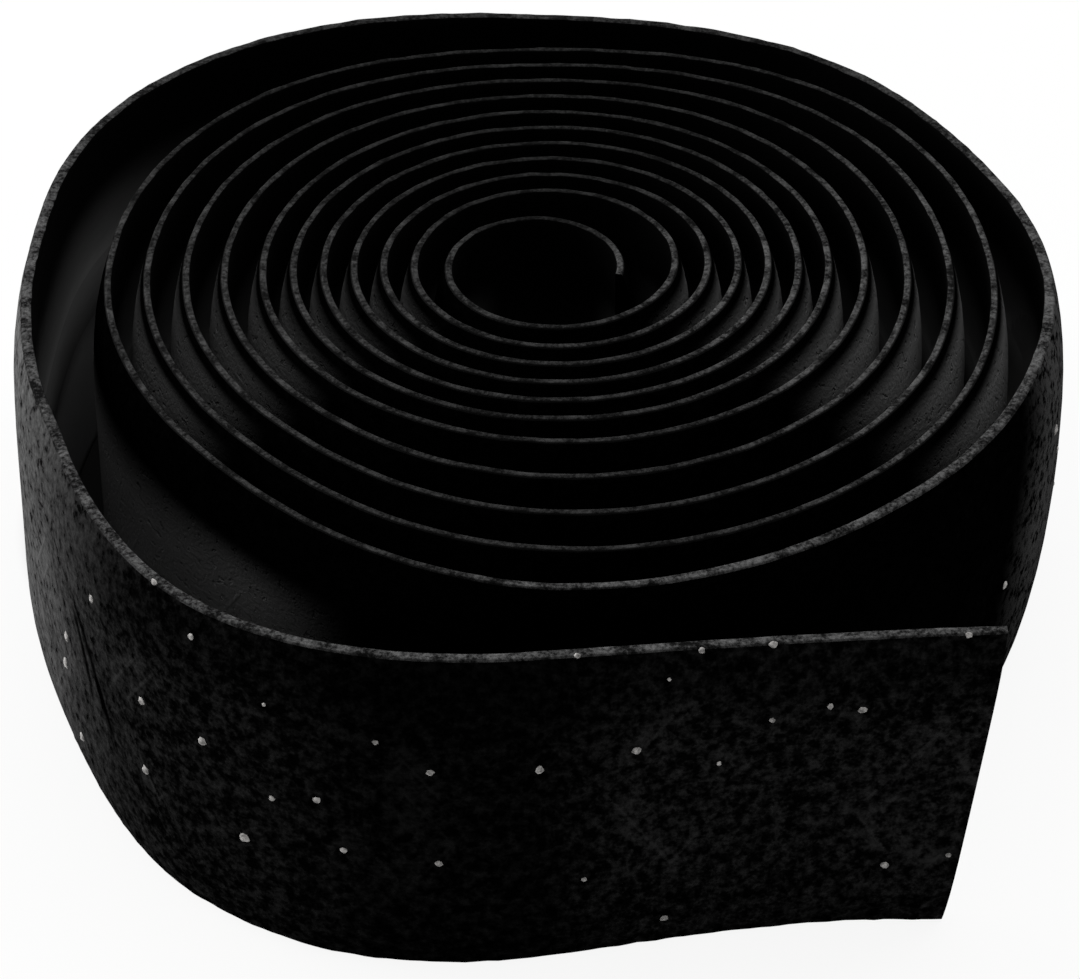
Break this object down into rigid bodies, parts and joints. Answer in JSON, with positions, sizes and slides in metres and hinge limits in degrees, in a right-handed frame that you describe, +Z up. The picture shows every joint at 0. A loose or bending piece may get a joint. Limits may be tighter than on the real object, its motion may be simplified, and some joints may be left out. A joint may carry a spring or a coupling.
{
  "type": "handlebar tape roll",
  "caption": "Cushioned bicycle handlebar tape wound into a roll round an open eye, its outer turns slack and its last turn sprung open into a free tail, standing on its edge.",
  "frame": {"origin": "on the floor, under the middle of the roll's box, the lower edge of the tape at z = 0", "axes": "+Z up along the tape's width, +Y away from the free tail, which lies along the front (-Y) side and points to +X"},
  "size_m": [0.0882, 0.0974, 0.03],
  "materials": {
    "foam": "matte black pebbled foam with pale cork flecks, smooth satin film on the back"
  },
  "bodies": {
    "root": {"tape": "foam"}
  },
  "joints": []
}
